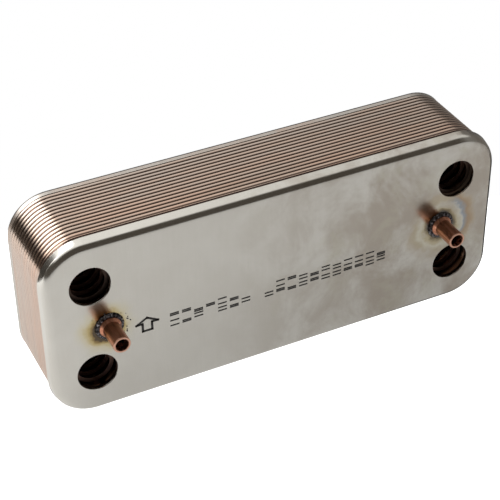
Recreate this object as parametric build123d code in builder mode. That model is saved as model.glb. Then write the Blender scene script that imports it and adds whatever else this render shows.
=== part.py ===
from build123d import *

import os
from math import asin, atan, cos, degrees, radians, sin, tan

# Brazed plate heat exchanger for a boiler.
#
# A stack of thin pressed steel plates is nested like trays, closed by a thick front cover
# with four water ports and by a blind back cover, and joined by copper brazing.
# Two welded sleeves on the front cover take the fixing screws.
#
# Frame, in millimetres: the origin is the centre of the flat front face. +X runs along the
# length, +Z is up when the exchanger stands on its long side, and -Y is the way the ports face.
# Depth is measured from the front face, along +Y.

# Driving dimensions
overall_length = 190.6
overall_width = 77.8
corner_radius = 17.6
port_spacing_x = 154.0
port_spacing_z = 40.0
port_radius = 8.0

plate_count = 14
plate_pitch = 2.1
plate_sheet = 0.35
braze_gap = 0.05
skirt_height = 7.6

cover_sheet = 1.5
cover_depth = 5.3
cover_bend = 3.0
port_edge_round = 0.25
cover_rim_round = 0.5

back_sheet = 1.2
back_rim_depth = 39.6
back_bend = 1.8
back_rim_round = 0.5

# The skirts lean outwards so that each tray nests in the one in front of it
skirt_lean = degrees(asin((plate_sheet + braze_gap) / plate_pitch))
lean = tan(radians(skirt_lean))

# Depths of the pressed plates
first_plate_depth = cover_sheet
first_rim_depth = first_plate_depth + skirt_height
last_rim_depth = first_rim_depth + (plate_count - 1) * plate_pitch
back_plate_depth = first_plate_depth + plate_count * plate_pitch
press_depth = plate_pitch - plate_sheet

# Half sizes of the stack, at the rim of each pressed plate
rim_step = (cover_sheet + braze_gap) / cos(radians(skirt_lean)) - (first_rim_depth - cover_depth) * lean
rim_half_length = overall_length / 2 - rim_step
rim_half_width = overall_width / 2 - rim_step
rim_corner = corner_radius - rim_step

# Pressed pattern of a plate
plate_bend = 1.6
field_margin = 4.6
field_corner = 11.0
wave_spacing = 7.5
wave_flat = 1.5
wave_angle = 60.0
wave_count = 26
press_wall = 0.4
port_pocket_radius = 11.0
lowered_port_radius = 6.8
cut_overrun = 1.0

# Copper fillet left in each groove between two rims; the one behind the thicker cover is larger
seam_rim_width = 0.36
seam_skirt_length = 0.9
cover_seam_rim_width = 0.75
cover_seam_skirt_length = 2.0
seam_end_width = 0.03

# Fixing sleeves and their weld beads, let into the cover by the depth of the weld
sleeve_spacing = 142.0
sleeve_height = 12.5
sleeve_radius = 3.4
sleeve_bore_radius = 2.5
collar_radius = 4.3
collar_height = 1.3
collar_slope = 1.0
sleeve_tip_round = 0.3
bead_radius = 5.9
bead_height = 1.1
bead_shoulder_radius = 5.45
bead_shoulder_height = 0.85
weld_depth = 0.2

os.makedirs("parts", exist_ok=True)


def front_plane(depth):
    """Plane parallel to the front face, at a depth behind it."""
    return Plane.XZ.offset(-depth)


def save(part, name):
    part.label = name
    export_step(part, f"parts/{name}.step")


def leaning_block(half_length, half_width, corner, start, end, bend):
    """Solid block whose sides lean outwards; the sizes are those of its front end."""
    with BuildPart() as block:
        with BuildSketch(front_plane(start)):
            RectangleRounded(2 * half_length, 2 * half_width, corner)
        extrude(amount=start - end, taper=-skirt_lean)
        front_edges = block.faces().sort_by(Axis.Y)[0].edges()
        fillet(front_edges, radius=bend)
    return block.part


def tray(half_length, half_width, corner, height, sheet, bend, rim_round=0):
    """Thin tray with its floor at depth 0 and a leaning skirt; the sizes are those of its rim."""
    narrowing = height * lean
    wall = sheet / cos(radians(skirt_lean)) - sheet * lean
    outer = [size - narrowing for size in (half_length, half_width, corner)]
    inner = [size - wall for size in outer]
    with BuildPart() as shell:
        add(leaning_block(*outer, 0, height, bend))
        add(leaning_block(*inner, sheet, height + cut_overrun, bend - sheet), mode=Mode.SUBTRACT)
        if rim_round:
            rim = shell.faces().sort_by(Axis.Y)[-1]
            fillet(rim.outer_wire().edges(), radius=rim_round)
    return shell.part


# Front cover: thick tray with the four ports and a shallow seat for each weld
with BuildPart() as front_cover_plate:
    add(
        tray(
            overall_length / 2,
            overall_width / 2,
            corner_radius,
            cover_depth,
            cover_sheet,
            cover_bend,
            cover_rim_round,
        )
    )
    with BuildSketch(front_plane(0)):
        with GridLocations(port_spacing_x, port_spacing_z, 2, 2):
            Circle(port_radius)
    extrude(amount=-cover_depth, mode=Mode.SUBTRACT)
    port_edges = front_cover_plate.edges().filter_by(GeomType.CIRCLE).group_by(Axis.Y)[0]
    fillet(port_edges, radius=port_edge_round)
    with BuildSketch(front_plane(0)):
        with GridLocations(sleeve_spacing, 0, 2, 1):
            Circle(bead_radius)
    extrude(amount=-weld_depth, mode=Mode.SUBTRACT)
save(front_cover_plate.part, "front_cover_plate")


def port_locations(raised):
    """Centres of the two ports that are raised or lowered on the first pressed plate."""
    row_height = -port_spacing_z / 2 if raised else port_spacing_z / 2
    return [(side * port_spacing_x / 2, row_height) for side in (-1, 1)]


def field_prism(margin, pad_radius, pads, start, end):
    """Rounded block over the pressed field, less a round pad at each listed port."""
    narrowing = skirt_height * lean
    with BuildPart() as prism:
        with BuildSketch(front_plane(start)):
            RectangleRounded(
                2 * (rim_half_length - narrowing - margin),
                2 * (rim_half_width - narrowing - margin),
                field_corner,
            )
            with Locations(*pads):
                Circle(pad_radius, mode=Mode.SUBTRACT)
        extrude(amount=start - end)
    return prism.part


def wave_cutter(mouth_depth, root_depth, overrun_depth, shift):
    """Chevron grooves, widest at mouth_depth; one prism for each groove and each half."""
    arm_length = rim_half_width / sin(radians(wave_angle))
    wide = (wave_spacing - wave_flat) / 2
    narrow = wave_flat / 2
    with BuildPart() as cutter:
        with BuildSketch(Plane.XY):
            with Locations((shift, 0)):
                with GridLocations(wave_spacing, 0, wave_count, 1):
                    Polygon(
                        (-wide, overrun_depth),
                        (wide, overrun_depth),
                        (wide, mouth_depth),
                        (narrow, root_depth),
                        (-narrow, root_depth),
                        (-wide, mouth_depth),
                        align=None,
                    )
        extrude(amount=arm_length, dir=(cos(radians(wave_angle)), 0, sin(radians(wave_angle))))
        mirror(about=Plane.XY)
    return cutter.part


# Pressed plate: tray whose floor carries a herringbone, with one pair of ports raised and one lowered
raised_ports = port_locations(raised=True)
lowered_ports = port_locations(raised=False)
press_back = press_depth + plate_sheet
slab_margin = field_margin - press_wall


with BuildPart() as front_grooves:
    add(wave_cutter(0, press_depth, -cut_overrun, 0))
    add(
        field_prism(
            field_margin,
            port_pocket_radius + 2 * press_wall,
            raised_ports,
            -cut_overrun,
            press_back,
        ),
        mode=Mode.INTERSECT,
    )

with BuildPart() as back_grooves:
    add(wave_cutter(press_back, plate_sheet, press_back + cut_overrun, wave_spacing / 2))
    add(
        field_prism(
            slab_margin - cut_overrun,
            port_pocket_radius + press_wall,
            lowered_ports,
            plate_sheet,
            press_back + cut_overrun,
        ),
        mode=Mode.INTERSECT,
    )

with BuildPart() as pressed_plate:
    add(tray(rim_half_length, rim_half_width, rim_corner, skirt_height, plate_sheet, plate_bend))
    add(field_prism(slab_margin, port_pocket_radius + press_wall, raised_ports, 0, press_back))
    add(front_grooves.part, mode=Mode.SUBTRACT)
    add(back_grooves.part, mode=Mode.SUBTRACT)
    with BuildSketch(front_plane(0)):
        with Locations(*lowered_ports):
            Circle(port_pocket_radius)
    extrude(amount=-press_depth, mode=Mode.SUBTRACT)
    with BuildSketch(front_plane(0)):
        with Locations(*raised_ports):
            Circle(port_radius)
        with Locations(*lowered_ports):
            Circle(lowered_port_radius)
    extrude(amount=-press_back, mode=Mode.SUBTRACT)

# Channel plates: the same pressing, every second one turned end for end about the port direction
for number in range(1, plate_count + 1):
    depth = first_plate_depth + (number - 1) * plate_pitch
    turn = 0 if number % 2 else 180
    with BuildPart() as channel_plate:
        with Locations(Location((0, depth, 0), (0, turn, 0))):
            add(pressed_plate.part)
    save(channel_plate.part, f"channel_plate_{number:02d}")


# Back cover: blind tray behind the last channel plate
next_rim_depth = last_rim_depth + plate_pitch
back_spread = (back_rim_depth - next_rim_depth) * lean
back_height = back_rim_depth - back_plate_depth
with BuildPart() as back_cover_plate:
    with Locations((0, back_plate_depth, 0)):
        add(
            tray(
                rim_half_length + back_spread,
                rim_half_width + back_spread,
                rim_corner + back_spread,
                back_height,
                back_sheet,
                back_bend,
                back_rim_round,
            )
        )
save(back_cover_plate.part, "back_cover_plate")


def braze_seam(seam_depth, inner_rim_depth, rim_width, skirt_length):
    """Copper fillet under a rim at seam_depth, lying on the skirt of the next tray in."""
    inset = (inner_rim_depth - seam_depth) * lean
    skirt = [size - inset for size in (rim_half_length, rim_half_width, rim_corner)]
    rim = [size + rim_width for size in skirt]
    slope = atan((rim_width - seam_end_width - skirt_length * lean) / skirt_length)
    with BuildPart() as seam:
        with BuildSketch(front_plane(seam_depth)):
            RectangleRounded(2 * rim[0], 2 * rim[1], rim[2])
        extrude(amount=-skirt_length, taper=degrees(slope))
        with BuildSketch(front_plane(seam_depth)):
            RectangleRounded(2 * skirt[0], 2 * skirt[1], skirt[2])
        extrude(amount=-skirt_length, taper=-skirt_lean, mode=Mode.SUBTRACT)
    return seam.part


# Braze seams: one copper loop in the groove behind each rim
cover_seam = braze_seam(cover_depth, first_rim_depth, cover_seam_rim_width, cover_seam_skirt_length)
save(cover_seam, "braze_seam_01")
for number in range(1, plate_count + 1):
    seam_depth = first_rim_depth + (number - 1) * plate_pitch
    plate_seam = braze_seam(seam_depth, seam_depth + plate_pitch, seam_rim_width, seam_skirt_length)
    save(plate_seam, f"braze_seam_{number + 1:02d}")


# Fixing sleeves and the weld beads round their collars
for side, word in ((-1, "left"), (1, "right")):
    sleeve_x = side * sleeve_spacing / 2
    profile_plane = Plane((sleeve_x, 0, 0), x_dir=(1, 0, 0), z_dir=(0, 0, 1))
    sleeve_axis = Axis((sleeve_x, 0, 0), (0, 1, 0))
    with BuildPart() as fixing_sleeve:
        with BuildSketch(profile_plane):
            Polygon(
                (sleeve_bore_radius, weld_depth),
                (collar_radius, weld_depth),
                (collar_radius, -collar_height),
                (sleeve_radius, -collar_height - collar_slope),
                (sleeve_radius, -sleeve_height),
                (sleeve_bore_radius, -sleeve_height),
                align=None,
            )
        revolve(axis=sleeve_axis)
        tip_edges = fixing_sleeve.edges().filter_by(GeomType.CIRCLE).group_by(Axis.Y)[0]
        fillet(tip_edges, radius=sleeve_tip_round)
    save(fixing_sleeve.part, f"fixing_sleeve_{word}")

    with BuildPart() as weld_bead:
        with BuildSketch(profile_plane):
            with BuildLine():
                crown = ThreePointArc(
                    (bead_radius, 0),
                    (bead_shoulder_radius, -bead_shoulder_height),
                    (collar_radius, -bead_height),
                )
                Polyline(
                    crown @ 1,
                    (collar_radius, weld_depth),
                    (bead_radius, weld_depth),
                    crown @ 0,
                )
            make_face()
        revolve(axis=sleeve_axis)
    save(weld_bead.part, f"weld_bead_{word}")
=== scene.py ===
"""Looks of the brazed plate heat exchanger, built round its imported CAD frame. Lengths are in metres."""
import math
import random

import bmesh
import bpy
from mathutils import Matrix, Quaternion, Vector, noise


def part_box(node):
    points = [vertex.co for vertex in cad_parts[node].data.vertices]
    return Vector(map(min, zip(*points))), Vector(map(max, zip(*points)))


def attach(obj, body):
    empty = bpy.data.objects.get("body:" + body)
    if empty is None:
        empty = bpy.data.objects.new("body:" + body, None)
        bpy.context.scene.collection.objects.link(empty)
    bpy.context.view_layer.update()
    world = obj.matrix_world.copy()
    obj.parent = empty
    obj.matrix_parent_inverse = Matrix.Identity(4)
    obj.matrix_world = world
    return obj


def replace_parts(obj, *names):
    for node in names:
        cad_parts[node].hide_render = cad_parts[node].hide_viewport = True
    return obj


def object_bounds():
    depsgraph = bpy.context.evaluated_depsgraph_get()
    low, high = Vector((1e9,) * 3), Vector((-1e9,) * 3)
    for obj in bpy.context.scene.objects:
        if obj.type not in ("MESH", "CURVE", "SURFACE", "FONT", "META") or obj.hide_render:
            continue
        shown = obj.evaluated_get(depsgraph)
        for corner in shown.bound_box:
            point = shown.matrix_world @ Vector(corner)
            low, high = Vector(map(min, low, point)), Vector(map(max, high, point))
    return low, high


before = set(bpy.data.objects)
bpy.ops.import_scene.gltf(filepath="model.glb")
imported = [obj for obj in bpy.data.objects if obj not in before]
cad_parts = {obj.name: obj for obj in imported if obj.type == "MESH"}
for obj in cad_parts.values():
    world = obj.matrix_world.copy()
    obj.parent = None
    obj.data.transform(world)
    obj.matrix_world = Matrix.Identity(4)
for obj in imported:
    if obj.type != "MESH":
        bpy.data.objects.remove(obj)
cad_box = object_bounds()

MM = 0.001

# Places read from the frame
box_low, box_high = cad_box
first_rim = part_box("channel_plate_01")[1].y
last_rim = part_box("channel_plate_14")[1].y
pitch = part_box("channel_plate_02")[1].y - first_rim
PORT_RADIUS = 8.0 * MM
port_centres = [Vector((x, 0, z)) for x in (-77.0 * MM, 77.0 * MM) for z in (-20.0 * MM, 20.0 * MM)]


def centre_and_radius(node):
    """Centre of a round node's box, and its radius across X."""
    low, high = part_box(node)
    return (low + high) / 2, (high.x - low.x) / 2


sleeve_left, collar_radius = centre_and_radius("fixing_sleeve_left")
sleeve_right, _ = centre_and_radius("fixing_sleeve_right")
_, bead_radius = centre_and_radius("weld_bead_left")
sleeve_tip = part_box("fixing_sleeve_left")[0].y
bead_height = -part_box("weld_bead_left")[0].y


# ---------------------------------------------------------------- camera, floor and light

def make_camera():
    """Camera in front of the left end, looking down on the front cover."""
    azimuth = math.radians(-25.59)
    elevation = math.radians(36.10)
    roll = math.radians(-0.823)
    target = Vector((-0.00384, 0.020, -0.00082))
    distance = 0.5906
    back = Vector((
        math.sin(azimuth) * math.cos(elevation),
        -math.cos(azimuth) * math.cos(elevation),
        math.sin(elevation),
    ))
    data = bpy.data.cameras.new("camera")
    data.sensor_width = 36.0
    data.lens = 108.37
    data.clip_start = 0.01
    data.clip_end = 20.0
    camera = bpy.data.objects.new("camera", data)
    camera.location = target + back * distance
    camera.rotation_mode = "QUATERNION"
    camera.rotation_quaternion = (-back).to_track_quat("-Z", "Y") @ Quaternion((0, 0, 1), roll)
    bpy.context.collection.objects.link(camera)
    bpy.context.scene.camera = camera


def make_floor():
    """Plain white table under the exchanger; its far edge runs slantwise behind it."""
    mesh = bpy.data.meshes.new("floor")
    height = box_low.z - 0.0002
    corners = [(-0.9, -1.2, height), (1.2, -1.2, height), (1.2, -0.34, height), (-0.9, 0.436, height)]
    mesh.from_pydata(corners, [], [(0, 1, 2, 3)])
    floor = bpy.data.objects.new("floor", mesh)
    bpy.context.collection.objects.link(floor)
    material = bpy.data.materials.new("floor_white")
    material.use_nodes = True
    nodes = material.node_tree.nodes
    shader = nodes["Principled BSDF"]
    shader.inputs["Base Color"].default_value = (0.35, 0.35, 0.35, 1)
    shader.inputs["Roughness"].default_value = 0.9
    shader.inputs["Specular IOR Level"].default_value = 0.1
    shader.inputs["Emission Color"].default_value = (1, 1, 1, 1)
    path = nodes.new("ShaderNodeLightPath")
    glow = nodes.new("ShaderNodeMapRange")
    glow.inputs["To Min"].default_value = 0.10
    glow.inputs["To Max"].default_value = 1.0
    material.node_tree.links.new(path.outputs["Is Camera Ray"], glow.inputs["Value"])
    material.node_tree.links.new(glow.outputs["Result"], shader.inputs["Emission Strength"])
    mesh.materials.append(material)


def make_world():
    """Dark warm room with a soft ceiling light and a tall bright softbox behind on the left."""
    world = bpy.data.worlds.new("studio")
    bpy.context.scene.world = world
    world.use_nodes = True
    nodes = world.node_tree.nodes
    links = world.node_tree.links
    nodes.clear()
    place = nodes.new("ShaderNodeTexCoord").outputs["Generated"]

    def edge(toward, start, end, level=1.0, first_level=0.0):
        """Soft step from first_level to level, as the ray's part along toward goes from start to end."""
        along = nodes.new("ShaderNodeVectorMath")
        along.operation = "DOT_PRODUCT"
        links.new(place, along.inputs[0])
        along.inputs[1].default_value = toward
        step = nodes.new("ShaderNodeMapRange")
        step.interpolation_type = "SMOOTHSTEP"
        step.inputs["From Min"].default_value = start
        step.inputs["From Max"].default_value = end
        step.inputs["To Min"].default_value = first_level
        step.inputs["To Max"].default_value = level
        links.new(along.outputs["Value"], step.inputs["Value"])
        return step.outputs["Result"]

    def join(operation, *values):
        total = values[0]
        for value in values[1:]:
            node = nodes.new("ShaderNodeMath")
            node.operation = operation
            links.new(total, node.inputs[0])
            links.new(value, node.inputs[1])
            total = node.outputs[0]
        return total

    def background(colour, strength):
        node = nodes.new("ShaderNodeBackground")
        node.inputs["Color"].default_value = (*colour, 1)
        if isinstance(strength, float):
            node.inputs["Strength"].default_value = strength
        else:
            links.new(strength, node.inputs["Strength"])
        return node.outputs[0]

    right, back, up = (1, 0, 0), (0, 1, 0), (0, 0, 1)
    fading = edge(right, 0.12, 0.62, 0.70, 1.32)
    ceiling = join("MULTIPLY", edge(up, 0.53, 0.68, 0.92), edge(back, -0.35, 0.0), fading)
    leftward = edge((-1, 0, 0), 0.02, 0.25, 4.5)
    softbox = join("MULTIPLY", leftward, edge((0, 0.47, 1), 0.49, 0.82), edge(back, 0.15, 0.45))
    side = edge(right, 0.50, 0.70, 0.17)
    light = background((1, 1, 1), join("ADD", ceiling, softbox, side))
    room = background((1.0, 0.87, 0.74), 0.09)
    both = nodes.new("ShaderNodeAddShader")
    links.new(light, both.inputs[0])
    links.new(room, both.inputs[1])
    path = nodes.new("ShaderNodeLightPath")
    choose = nodes.new("ShaderNodeMixShader")
    links.new(path.outputs["Is Camera Ray"], choose.inputs[0])
    links.new(both.outputs[0], choose.inputs[1])
    links.new(background((1, 1, 1), 1.0), choose.inputs[2])
    output = nodes.new("ShaderNodeOutputWorld")
    links.new(choose.outputs[0], output.inputs["Surface"])


def make_light():
    """Soft light over the back left of the table; it lights the table only and throws no shadow."""
    data = bpy.data.lights.new("table_light", "AREA")
    data.shape = "DISK"
    data.size = 0.35
    data.energy = 11.5
    data.use_shadow = False
    light = bpy.data.objects.new("table_light", data)
    light.location = (-0.40, 0.40, 0.45)
    aim = Vector((-0.25, 0.20, -0.04)) - light.location
    light.rotation_mode = "QUATERNION"
    light.rotation_quaternion = aim.to_track_quat("-Z", "Y")
    light.visible_camera = False
    light.visible_glossy = False
    bpy.context.collection.objects.link(light)


# ---------------------------------------------------------------- materials

class Graph:
    """A Principled material with short calls for its nodes."""

    def __init__(self, name, metallic, roughness):
        self.material = bpy.data.materials.new(name)
        self.material.use_nodes = True
        self.tree = self.material.node_tree
        self.shader = self.tree.nodes["Principled BSDF"]
        self.shader.inputs["Metallic"].default_value = metallic
        self.shader.inputs["Roughness"].default_value = roughness
        self.place = self.tree.nodes.new("ShaderNodeTexCoord").outputs["Object"]
        split = self.tree.nodes.new("ShaderNodeSeparateXYZ")
        self.tree.links.new(self.place, split.inputs[0])
        self.x, self.y, self.z = split.outputs

    def feed(self, socket, value):
        if isinstance(value, bpy.types.NodeSocket):
            self.tree.links.new(value, socket)
        elif isinstance(value, tuple) and len(value) == 3 and socket.type == "RGBA":
            socket.default_value = (*value, 1)
        else:
            socket.default_value = value

    def math(self, operation, first, second=0.0, third=0.0):
        node = self.tree.nodes.new("ShaderNodeMath")
        node.operation = operation
        for socket, value in zip(node.inputs, (first, second, third)):
            self.feed(socket, value)
        return node.outputs[0]

    def product(self, first, *others):
        for other in others:
            first = self.math("MULTIPLY", first, other)
        return first

    def total(self, first, *others):
        for other in others:
            first = self.math("ADD", first, other)
        return first

    def noise(self, stretch, detail=3.0, roughness=0.55, distortion=0.0):
        """Noise from 0 to 1; stretch is its cycles per metre along X, Y and Z."""
        scaled = self.tree.nodes.new("ShaderNodeVectorMath")
        scaled.operation = "MULTIPLY"
        self.feed(scaled.inputs[0], self.place)
        scaled.inputs[1].default_value = stretch
        node = self.tree.nodes.new("ShaderNodeTexNoise")
        self.feed(node.inputs["Vector"], scaled.outputs[0])
        node.inputs["Scale"].default_value = 1.0
        node.inputs["Detail"].default_value = detail
        node.inputs["Roughness"].default_value = roughness
        node.inputs["Distortion"].default_value = distortion
        return node.outputs[0]

    def span(self, value, low, high, start=0.0, end=1.0):
        """Maps value smoothly from the range low to high onto start to end."""
        node = self.tree.nodes.new("ShaderNodeMapRange")
        node.interpolation_type = "SMOOTHSTEP"
        self.feed(node.inputs["Value"], value)
        node.inputs["From Min"].default_value = low
        node.inputs["From Max"].default_value = high
        node.inputs["To Min"].default_value = start
        node.inputs["To Max"].default_value = end
        return node.outputs[0]

    def mix(self, factor, first, second, blend="MIX"):
        node = self.tree.nodes.new("ShaderNodeMix")
        node.data_type = "RGBA"
        node.blend_type = blend
        self.feed(node.inputs[0], factor)
        self.feed(node.inputs[6], first)
        self.feed(node.inputs[7], second)
        return node.outputs[2]

    def ramp(self, value, stops):
        """Colour ramp; stops are (place, (r, g, b))."""
        node = self.tree.nodes.new("ShaderNodeValToRGB")
        band = node.color_ramp
        while len(band.elements) < len(stops):
            band.elements.new(0.5)
        for element, (place, colour) in zip(band.elements, stops):
            element.position = place
            element.color = (*colour, 1)
        self.feed(node.inputs[0], value)
        return node.outputs[0]

    def distance(self, centre):
        """Distance from the line through centre along Y."""
        across = self.math("SUBTRACT", self.x, centre.x)
        upward = self.math("SUBTRACT", self.z, centre.z)
        return self.math("SQRT", self.total(self.product(across, across), self.product(upward, upward)))

    def from_ports(self):
        """Distance from the axis of the nearest port."""
        nearest = 1.0
        for port in port_centres:
            nearest = self.math("MINIMUM", nearest, self.distance(port))
        return nearest

    def colour(self, value):
        self.feed(self.shader.inputs["Base Color"], value)

    def rough(self, value):
        self.feed(self.shader.inputs["Roughness"], value)

    def bump(self, height, distance, strength=1.0):
        node = self.tree.nodes.new("ShaderNodeBump")
        node.inputs["Strength"].default_value = strength
        node.inputs["Distance"].default_value = distance
        self.feed(node.inputs["Height"], height)
        self.tree.links.new(node.outputs[0], self.shader.inputs["Normal"])


def cover_steel():
    """Cold-rolled stainless sheet, with faint rolling lines, stains and heat tint round the welds."""
    g = Graph("cover_steel", 1.0, 0.2)
    lines = g.noise((1500, 1500, 45), detail=2.0)
    clouds = g.noise((38, 38, 34), detail=5.0, roughness=0.66, distortion=0.35)
    stains = g.noise((70, 70, 60), detail=5.0, roughness=0.68, distortion=0.5)
    steel = g.ramp(lines, [(0.25, (0.592, 0.573, 0.523)), (0.75, (0.616, 0.597, 0.546))])
    toward_right = g.span(g.x, -0.035, 0.050, 0.12, 1.0)
    cloudy = g.product(g.span(clouds, 0.36, 0.62), toward_right, 0.95)
    surface = g.mix(cloudy, steel, (0.410, 0.365, 0.310))
    stained = g.product(g.span(stains, 0.50, 0.70), toward_right, 0.45)
    surface = g.mix(stained, surface, (0.500, 0.480, 0.385))

    on_front = g.span(g.y, 1.0 * MM, 2.4 * MM, 1.0, 0.0)
    wander = g.product(g.math("SUBTRACT", g.noise((150, 150, 150), detail=4.0), 0.5), 7.0 * MM)

    # Tint round the right weld, with a blue and brown crescent beside it
    patchy = g.span(g.noise((95, 95, 95), detail=3.0), 0.38, 0.62, 0.35, 1.0)
    reach = g.math("ADD", g.distance(sleeve_right), wander)
    tint = g.ramp(g.math("DIVIDE", reach, 20.0 * MM), [
        (0.30, (0.05, 0.04, 0.03)),
        (0.34, (0.20, 0.15, 0.08)),
        (0.40, (0.46, 0.39, 0.24)),
        (0.48, (0.60, 0.57, 0.46)),
        (0.58, (0.46, 0.40, 0.29)),
        (0.74, (0.42, 0.35, 0.25)),
        (0.95, (0.56, 0.53, 0.46)),
    ])
    close = g.span(reach, 7.0 * MM, 9.0 * MM, 1.0, 0.0)
    fading = g.span(reach, 12.0 * MM, 19.0 * MM, 0.85, 0.0)
    surface = g.mix(g.product(fading, g.math("MAXIMUM", patchy, close), on_front), surface, tint)
    crescent = g.ramp(g.math("DIVIDE", reach, 20.0 * MM), [
        (0.50, (0.60, 0.59, 0.54)),
        (0.56, (0.30, 0.33, 0.36)),
        (0.66, (0.38, 0.28, 0.19)),
        (0.80, (0.46, 0.38, 0.28)),
    ])
    inner_edge = g.span(reach, 9.5 * MM, 11.0 * MM)
    outer_edge = g.span(reach, 14.0 * MM, 17.5 * MM, 0.9, 0.0)
    beside = g.span(g.x, sleeve_right.x + 2.0 * MM, sleeve_right.x + 9.0 * MM)
    surface = g.mix(g.product(inner_edge, outer_edge, beside, on_front), surface, crescent)

    # Burn at the left weld, a little to its lower left
    burnt = sleeve_left + Vector((-1.2 * MM, 0.0, -0.6 * MM))
    reach = g.math("ADD", g.distance(burnt), wander)
    tint = g.ramp(g.math("DIVIDE", reach, 16.0 * MM), [
        (0.35, (0.08, 0.055, 0.03)),
        (0.39, (0.24, 0.16, 0.06)),
        (0.46, (0.48, 0.38, 0.18)),
        (0.56, (0.58, 0.52, 0.36)),
        (0.75, (0.60, 0.57, 0.46)),
    ])
    surface = g.mix(g.product(g.span(reach, 7.0 * MM, 14.0 * MM, 0.95, 0.0), on_front), surface, tint)

    # Painted dark reflection on the bend, along the lower right of the cover: a near-black, matt,
    # non-metal band stands in for the dark room mirrored there
    on_bend = g.product(g.span(g.y, 0.08 * MM, 0.32 * MM), g.span(g.y, 1.8 * MM, 2.6 * MM, 1.0, 0.0))
    low = g.span(g.z, 20.0 * MM, 32.0 * MM, 1.0, 0.0)
    low_right = g.product(g.span(g.x, 10.0 * MM, 88.0 * MM, 0.0, 0.95), low)
    outside_ports = g.span(g.from_ports(), PORT_RADIUS + 0.6 * MM, PORT_RADIUS + 1.4 * MM)
    painted_dark_reflection = g.product(on_bend, low_right, outside_ports)
    surface = g.mix(painted_dark_reflection, surface, (0.012, 0.011, 0.010))
    g.colour(surface)
    g.feed(g.shader.inputs["Metallic"], g.math("SUBTRACT", 1.0, painted_dark_reflection))
    g.shader.inputs["Specular IOR Level"].default_value = 0.1

    polish = g.total(g.product(lines, 0.04), g.product(clouds, 0.14))
    g.rough(g.total(g.product(painted_dark_reflection, 0.6), 0.11, polish))

    # The corners of the skirt curl in a little
    at_corner = g.product(
        g.span(g.math("ABSOLUTE", g.x), 80.0 * MM, 87.0 * MM),
        g.span(g.math("ABSOLUTE", g.z), 23.0 * MM, 30.0 * MM),
    )
    curl = g.product(g.math("MAXIMUM", g.math("SUBTRACT", g.y, 2.2 * MM), 0.0), -0.42)
    texture = g.product(g.total(lines, g.product(clouds, 3.0)), 0.000004)
    g.bump(g.total(texture, g.product(curl, at_corner)), 1.0)
    return g.material


# Colour of the painted shade in the grooves between the skirts.
GROOVE_SHADE = (0.06, 0.035, 0.025)


def groove(g):
    """Height over one pitch, with a dip where a seam runs out on the next skirt, and painted shade in
    that dip, weaker on the two short ends.
    """
    phase = g.math("FRACT", g.math("DIVIDE", g.math("SUBTRACT", g.y, first_rim), pitch))
    height = g.span(g.math("ABSOLUTE", g.math("SUBTRACT", phase, 0.47)), 0.09, 0.24)
    darkness = g.math("SUBTRACT", 0.92, g.product(at_ends(g), 0.82))
    groove_shade = g.product(g.math("SUBTRACT", 1.0, height), darkness)
    return height, groove_shade


def at_ends(g):
    """1 on the two short ends of the stack, 0 along its long sides and corners."""
    return g.span(g.math("ABSOLUTE", g.x), 90.5 * MM, 93.8 * MM)


def plate_steel():
    """Thin plates with a copper wash, pinker towards the front, with painted shade in the grooves, and
    inside the ports painted shade near the mouth lightening to a painted lit brown deeper in.
    """
    g = Graph("plate_steel", 1.0, 0.2)
    streaks = g.noise((14, 900, 14), detail=3.0)
    patches = g.noise((35, 260, 35), detail=4.0, roughness=0.6)
    front_to_back = g.span(g.y, first_rim, last_rim)
    washed = g.mix(front_to_back, (0.56, 0.395, 0.305), (0.52, 0.41, 0.335))
    bare = g.mix(front_to_back, (0.52, 0.41, 0.335), (0.50, 0.42, 0.36))
    surface = g.mix(g.span(patches, 0.38, 0.62), washed, bare)
    surface = g.mix(g.product(g.span(streaks, 0.45, 0.75), 0.35), surface, (0.36, 0.25, 0.19))
    dip, groove_shade = groove(g)
    # Painted shade in the grooves between the skirts.
    surface = g.mix(groove_shade, surface, GROOVE_SHADE)
    # Inside the ports: painted shade near the mouth, lightening deeper in to a painted lit brown, and
    # rougher there.
    port_shade_mask = g.span(g.from_ports(), PORT_RADIUS + 0.2 * MM, PORT_RADIUS + 0.6 * MM, 0.9, 0.0)
    inner = g.mix(g.span(g.y, 3.0 * MM, 7.0 * MM), (0.05, 0.032, 0.026), (0.50, 0.30, 0.24))
    surface = g.mix(port_shade_mask, surface, inner)
    g.colour(surface)
    g.rough(g.total(g.product(port_shade_mask, 0.35), 0.12, g.product(patches, 0.14)))
    g.bump(g.total(dip, g.product(streaks, 0.1)), 0.00006)
    return g.material


def back_steel():
    """Blind back cover: grey stainless with a weak copper bloom, and painted shade along the rim of its
    long sides.
    """
    g = Graph("back_steel", 1.0, 0.3)
    lines = g.noise((1200, 40, 45), detail=2.0)
    bloom = g.noise((28, 28, 28), detail=5.0, roughness=0.6, distortion=0.8)
    steel = g.ramp(lines, [(0.25, (0.44, 0.41, 0.37)), (0.75, (0.52, 0.49, 0.45))])
    surface = g.mix(g.span(bloom, 0.45, 0.70, 0.0, 0.7), steel, (0.50, 0.37, 0.29))
    # Painted shade: a dark band along the back rim, on the long sides only.
    painted_rim_shade = g.span(g.y, box_high.y - 1.1 * MM, box_high.y - 0.6 * MM)
    along_sides = g.math("SUBTRACT", 1.0, at_ends(g))
    surface = g.mix(g.product(painted_rim_shade, along_sides), surface, (0.05, 0.043, 0.037))
    g.colour(surface)
    g.rough(g.total(0.22, g.product(bloom, 0.2)))
    g.bump(g.total(lines, bloom), 0.000008)
    return g.material


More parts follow.
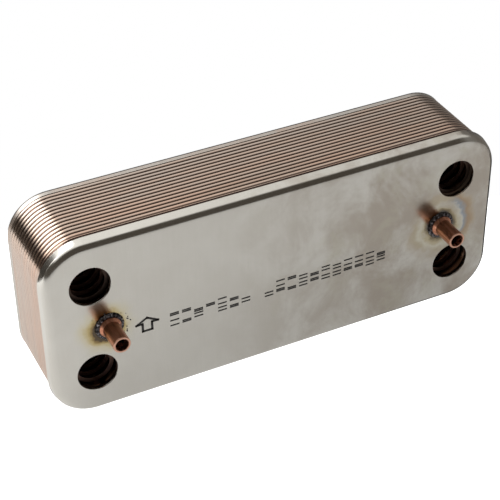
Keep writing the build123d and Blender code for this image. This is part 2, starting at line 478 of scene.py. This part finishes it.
def braze_copper():
    """Thin copper that filled the grooves and drew level with the plates: a dark, red copy painted as
    shade along the long sides and corners, a lighter copy painted as lit on the short ends, and painted
    shade in the grooves.
    """
    g = Graph("braze_copper", 1.0, 0.2)
    runs = g.noise((40, 420, 40), detail=4.0)
    dip, groove_shade = groove(g)
    shaded_copper = g.ramp(runs, [
        (0.30, (0.13, 0.07, 0.045)),
        (0.52, (0.18, 0.11, 0.08)),
        (0.75, (0.24, 0.17, 0.13)),
    ])
    # Painted lit copy of the copper, used on the short ends.
    thin = g.ramp(runs, [
        (0.30, (0.52, 0.35, 0.26)),
        (0.52, (0.54, 0.39, 0.30)),
        (0.75, (0.51, 0.40, 0.33)),
    ])
    # Painted shade on the long sides and corners, painted light on the short ends, and painted shade in
    # the grooves.
    surface = g.mix(groove_shade, g.mix(at_ends(g), shaded_copper, thin), GROOVE_SHADE)
    g.colour(surface)
    g.rough(g.total(0.10, g.product(runs, 0.12)))
    g.bump(g.total(dip, g.product(runs, 0.15)), 0.00006)
    return g.material


def sleeve_copper():
    """Copper-coated sleeve: drawn lines along it, tarnish, a bright cut end and a dark bore with painted
    glints in it.
    """
    g = Graph("sleeve_copper", 1.0, 0.28)
    drawn = g.noise((1100, 40, 1100), detail=3.0)
    tarnish = g.noise((260, 130, 260), detail=4.0, distortion=0.8)
    surface = g.ramp(drawn, [(0.3, (0.46, 0.175, 0.10)), (0.7, (0.80, 0.39, 0.25))])
    surface = g.mix(g.span(tarnish, 0.45, 0.72, 0.0, 0.65), surface, (0.24, 0.11, 0.07))
    at_tip = g.span(g.y, sleeve_tip + 0.15 * MM, sleeve_tip + 0.55 * MM, 1.0, 0.0)
    surface = g.mix(at_tip, surface, (0.62, 0.35, 0.25))
    nearest = g.math("MINIMUM", g.distance(sleeve_left), g.distance(sleeve_right))
    inside = g.span(nearest, 2.55 * MM, 2.75 * MM, 1.0, 0.0)
    # Painted glints in the bore.
    bore_glints = g.span(g.noise((700, 500, 700), detail=3.0), 0.50, 0.62)
    surface = g.mix(inside, surface, g.mix(bore_glints, (0.16, 0.055, 0.03), (0.72, 0.34, 0.24)))
    g.colour(surface)
    g.rough(g.total(g.product(inside, 0.35), 0.2, g.product(tarnish, 0.25)))
    g.bump(drawn, 0.00001)
    return g.material


def weld_metal():
    """Oxidised weld: dark grey-blue with shiny spots."""
    g = Graph("weld_metal", 1.0, 0.4)
    spots = g.noise((1100, 1100, 1100), detail=3.0)
    g.colour(g.ramp(spots, [
        (0.34, (0.020, 0.017, 0.016)),
        (0.54, (0.085, 0.075, 0.075)),
        (0.72, (0.36, 0.35, 0.37)),
    ]))
    g.rough(g.total(0.2, g.product(spots, 0.35)))
    g.bump(spots, 0.00015)
    return g.material


def printing_ink():
    """Matt black ink, a little thin in places."""
    g = Graph("printing_ink", 0.0, 0.6)
    thin = g.noise((2200, 2200, 2200), detail=3.0)
    g.colour(g.ramp(thin, [(0.4, (0.012, 0.011, 0.010)), (0.8, (0.06, 0.055, 0.05))]))
    g.bump(thin, 0.00001)
    return g.material


# ---------------------------------------------------------------- pieces made here

def add_piece(name, builder, material):
    """Turns a bmesh into a piece that rides on the fixed body, with the slot of its finish."""
    mesh = bpy.data.meshes.new(name)
    builder.to_mesh(mesh)
    builder.free()
    for face in mesh.polygons:
        face.use_smooth = True
    mesh.materials.append(material)
    piece = bpy.data.objects.new(name, mesh)
    bpy.context.collection.objects.link(piece)
    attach(piece, "root")
    return piece


def weld_ring(name, centre, seed, material):
    """Lumpy ring of weld round a sleeve's collar, inside the outline of its plain CAD ring."""
    around, across = 180, 12
    inner = collar_radius * 0.97
    rng = random.Random(seed)
    offset = Vector((rng.random() * 50, rng.random() * 50, rng.random() * 50))
    builder = bmesh.new()
    rows = []
    for step in range(around):
        angle = 2 * math.pi * step / around
        cosine, sine = math.cos(angle), math.sin(angle)
        phase = 17 * angle + 1.5 * noise.noise(offset + Vector((cosine, sine, 0)) * 2)
        ripple = 0.5 + 0.5 * math.cos(phase)
        bulge = 0.5 + 0.5 * noise.noise(offset + Vector((cosine, sine, 3)) * 1.3)
        width = (bead_radius - inner) * (0.78 + 0.12 * ripple + 0.10 * bulge)
        height = bead_height * (0.62 + 0.22 * ripple + 0.16 * bulge)
        row = []
        for part in range(across + 1):
            turn = math.pi / 2 * part / across
            radius = inner + width * math.sin(turn)
            depth = -height * math.cos(turn) ** 0.8
            grain = noise.noise(offset + Vector((radius * cosine, depth, radius * sine)) * 1400)
            depth = min(0.0, depth * (1 + 0.16 * grain))
            row.append(builder.verts.new((centre.x + radius * cosine, depth, centre.z + radius * sine)))
        row.append(builder.verts.new((centre.x + inner * cosine, 0.0, centre.z + inner * sine)))
        rows.append(row)
    for step in range(around):
        this, following = rows[step], rows[(step + 1) % around]
        count = len(this)
        for part in range(count):
            other = (part + 1) % count
            builder.faces.new((this[part], this[other], following[other], following[part]))
    bmesh.ops.recalc_face_normals(builder, faces=builder.faces)
    return add_piece(name, builder, material)


def spatter(material):
    """Small beads of metal thrown off beside the left weld."""
    rng = random.Random(11)
    builder = bmesh.new()
    for index in range(16):
        angle = rng.uniform(-0.7, 1.1) if index < 11 else rng.uniform(0, 2 * math.pi)
        reach = bead_radius + rng.uniform(0.3, 2.4) * MM
        size = rng.uniform(0.12, 0.30) * MM
        made = bmesh.ops.create_icosphere(builder, subdivisions=2, radius=size)["verts"]
        place = Vector((
            sleeve_left.x + reach * math.cos(angle),
            -0.35 * size,
            sleeve_left.z + reach * math.sin(angle),
        ))
        for vert in made:
            vert.co = Vector((vert.co.x, vert.co.y * 0.6, vert.co.z)) + place
    add_piece("weld_spatter", builder, material)


INK_DEPTH = -0.03 * MM


def ink_polygon(builder, points):
    """Flat patch of ink on the front face; points are (x, z)."""
    front = [builder.verts.new((x, INK_DEPTH, z)) for x, z in points]
    back = [builder.verts.new((x, 0.0, z)) for x, z in points]
    builder.faces.new(front)
    builder.faces.new(back[::-1])
    count = len(points)
    for index in range(count):
        other = (index + 1) % count
        builder.faces.new((front[other], front[index], back[index], back[other]))


def ink_stroke(builder, start, end, width):
    """Straight stroke of ink between two points."""
    along = (Vector(end) - Vector(start)).normalized() * (width / 2)
    side = Vector((-along.y, along.x))
    first, last = Vector(start) - along, Vector(end) + along
    ink_polygon(builder, [first - side, last - side, last + side, first + side])


def arrow_mark(material):
    """Outlined block arrow that points up, beside the left sleeve."""
    tip_x, tip_z = -56.2 * MM, -1.6 * MM
    head, stem, height, shoulder = 4.3 * MM, 1.9 * MM, 5.9 * MM, 2.4 * MM
    stroke = 0.95 * MM
    outline = [
        (tip_x, tip_z),
        (tip_x + head, tip_z - shoulder),
        (tip_x + stem, tip_z - shoulder),
        (tip_x + stem, tip_z - height),
        (tip_x - stem, tip_z - height),
        (tip_x - stem, tip_z - shoulder),
        (tip_x - head, tip_z - shoulder),
    ]
    builder = bmesh.new()
    for start, end in zip(outline, outline[1:] + outline[:1]):
        ink_stroke(builder, start, end, stroke)
    bmesh.ops.recalc_face_normals(builder, faces=builder.faces)
    add_piece("arrow_mark", builder, material)


def code_marks(material):
    """Two rows of short ink bars in groups: a stand-in code with no letters or figures."""
    rng = random.Random(5)
    cell_width, cell_height = 3.7 * MM, 2.3 * MM
    advance, bar = 4.95 * MM, 0.65 * MM
    rows = [(-4.4 * MM, -47.0 * MM, (6, 3, 10)), (-7.7 * MM, -47.0 * MM, (3, 1, 3, 1, 11))]
    builder = bmesh.new()
    for base, start, groups in rows:
        x = start
        for position, size in enumerate(groups):
            if position % 2:
                x += size * advance
                continue
            for _ in range(size):
                for level in rng.sample((0.0, 0.33, 0.66, 1.0), 2):
                    z = base + (level - 0.5) * cell_height
                    ink_stroke(builder, (x + bar / 2, z), (x + cell_width - bar / 2, z), bar)
                x += advance
    bmesh.ops.recalc_face_normals(builder, faces=builder.faces)
    add_piece("code_marks", builder, material)


# ---------------------------------------------------------------- put it together

def dress(node, material):
    """Gives a CAD node its material."""
    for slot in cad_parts[node].material_slots:
        slot.material = material


bpy.context.scene.view_settings.view_transform = "Standard"
make_camera()
make_floor()
make_world()
make_light()

cover = cover_steel()
plate = plate_steel()
back = back_steel()
braze = braze_copper()
copper = sleeve_copper()
weld = weld_metal()
ink = printing_ink()

dress("front_cover_plate", cover)
dress("back_cover_plate", back)
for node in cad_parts:
    if node.startswith("channel_plate"):
        dress(node, plate)
    elif node.startswith("braze_seam"):
        dress(node, braze)
    elif node.startswith("fixing_sleeve"):
        dress(node, copper)

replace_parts(weld_ring("weld_ring_left", sleeve_left, 3, weld), "weld_bead_left")
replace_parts(weld_ring("weld_ring_right", sleeve_right, 8, weld), "weld_bead_right")
spatter(weld)
arrow_mark(ink)
code_marks(ink)
